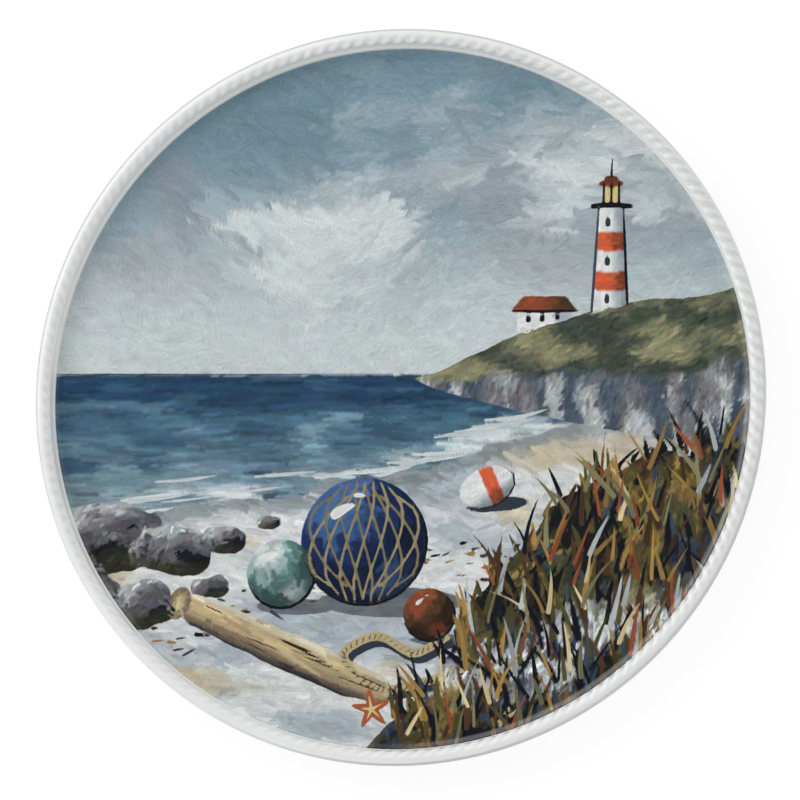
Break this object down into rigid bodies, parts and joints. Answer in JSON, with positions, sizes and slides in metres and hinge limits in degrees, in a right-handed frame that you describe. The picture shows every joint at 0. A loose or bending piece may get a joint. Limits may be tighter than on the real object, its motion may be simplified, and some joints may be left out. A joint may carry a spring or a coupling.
{
  "type": "souvenir plate",
  "caption": "Round glazed ceramic wall plate: shallow flat well with a printed seaside picture, twisted-rope rim, and a foot ring with cord holes for hanging.",
  "frame": {"origin": "centre of the plane that the foot ring stands on", "axes": "+Z out of the well, square to the plate; +Y towards the top of the picture, where the cord holes are; +X to the picture's right"},
  "size_m": [0.2032, 0.2032, 0.0139],
  "materials": {
    "glazed_body": "gloss white glaze",
    "glazed_rope": "gloss white glaze, pooled in the grooves",
    "glazed_foot": "gloss white glaze, wiped off the bearing face",
    "picture_print": "fired colour transfer under a clear gloss cover"
  },
  "bodies": {
    "root": {"plate_body": "glazed_body", "rope_rim": "glazed_rope", "foot_ring": "glazed_foot", "picture_transfer": "picture_print"}
  },
  "joints": []
}
